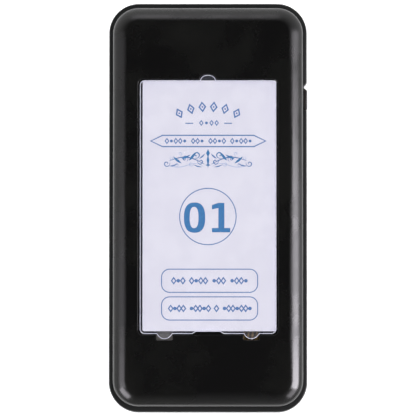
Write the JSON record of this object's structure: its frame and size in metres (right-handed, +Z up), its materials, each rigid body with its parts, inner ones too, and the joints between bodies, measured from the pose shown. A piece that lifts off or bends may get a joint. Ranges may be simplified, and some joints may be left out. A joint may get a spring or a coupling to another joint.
{
  "type": "pager",
  "caption": "Slim rounded black guest pager with a clear card window on its face, a side press key, screwed shells, charging contacts and a vibration motor inside.",
  "frame": {"origin": "middle of the flat back, on the surface that the pager lies on", "axes": "+Z up out of the card face, +Y towards the top end, +X to the right of the card, the side with the press key"},
  "size_m": [0.0534, 0.11, 0.0132],
  "materials": {
    "rear_shell": "moulded ABS, black, fine satin texture",
    "front_shell": "moulded polycarbonate, smoked near-black, satin gloss with faint smears",
    "clear_cover": "clear acrylic, laser-cut edge",
    "card": "coated card, cool white, blue print",
    "key": "moulded ABS, brownish black",
    "screw_steel": "nickel-plated steel",
    "circuit_board": "glass-epoxy board with green solder mask",
    "plated_contact": "gold-plated brass strip",
    "copper_wire": "plated spring wire, close wound",
    "lamp": "white moulded lamp frame with a cast lens",
    "black_package": "black moulded epoxy",
    "ferrite": "sintered ferrite",
    "tantalum": "yellow moulded epoxy",
    "tin_can": "drawn tinned steel can",
    "foil_pouch": "laminated aluminium foil pouch, satin",
    "amber_tape": "amber polyimide tape",
    "foam_pad": "white double-sided foam tape",
    "red_lead": "red insulation",
    "black_lead": "black insulation",
    "blue_lead": "blue insulation",
    "natural_nylon": "natural nylon, moulded",
    "motor_steel": "drawn and plated steel",
    "tungsten": "sintered heavy metal"
  },
  "bodies": {
    "root": {"aerial_coil": "copper_wire", "battery_cell": "foil_pouch", "battery_lead_black": "black_lead", "battery_lead_red": "red_lead", "battery_plug": "natural_nylon", "battery_socket": "natural_nylon", "board_screw_lower": "screw_steel", "board_screw_upper": "screw_steel", "buzzer": "black_package", "case_screw_lower_left": "screw_steel", "case_screw_lower_right": "screw_steel", "case_screw_upper_left": "screw_steel", "case_screw_upper_right": "screw_steel", "cell_circuit": "amber_tape", "cell_pad": "foam_pad", "charger_chip": "black_package", "charger_inductor": "ferrite", "charging_contact_left": "plated_contact", "charging_contact_right": "plated_contact", "controller_chip": "black_package", "crystal_can": "tin_can", "filter_capacitor_1": "tantalum", "filter_capacitor_2": "tantalum", "front_housing": "front_shell", "lamp_bottom_left": "lamp", "lamp_bottom_right": "lamp", "lamp_left_1": "lamp", "lamp_left_2": "lamp", "lamp_left_3": "lamp", "lamp_right_1": "lamp", "lamp_right_2": "lamp", "lamp_right_3": "lamp", "lamp_top_left": "lamp", "lamp_top_right": "lamp", "main_board": "circuit_board", "motor_can": "motor_steel", "motor_endcap": "natural_nylon", "motor_lead_blue": "blue_lead", "motor_lead_red": "red_lead", "rear_cover": "rear_shell", "receiver_chip": "black_package", "resistor_1": "black_package", "resistor_2": "black_package", "resistor_3": "black_package", "resistor_4": "black_package", "switch_body": "black_package"},
    "key": {"power_key": "key", "switch_plunger": "natural_nylon"},
    "cover": {"card_cover": "clear_cover"},
    "card": {"printed_card": "card"},
    "spinner": {"motor_shaft": "motor_steel", "motor_weight": "tungsten"}
  },
  "joints": [
    {"name": "key_press", "type": "slide", "parent": "root", "child": "key", "axis": [-1, 0, 0], "range_m": [0, 0.0004], "stiffness_N_per_m": 300},
    {"name": "cover_lift", "type": "slide", "parent": "root", "child": "cover", "axis": [0, 0, 1], "range_m": [0, 0.02]},
    {"name": "card_lift", "type": "slide", "parent": "root", "child": "card", "axis": [0, 0, 1], "range_m": [0, 0.01]},
    {"name": "motor_spin", "type": "hinge", "parent": "root", "child": "spinner", "pos_m": [-0.0042, -0.0346, 0.0054], "axis": [1, 0, 0], "continuous": true}
  ],
  "couplings": [
    {"joint": "card_lift", "follows": "cover_lift", "ratio": 0.5}
  ]
}
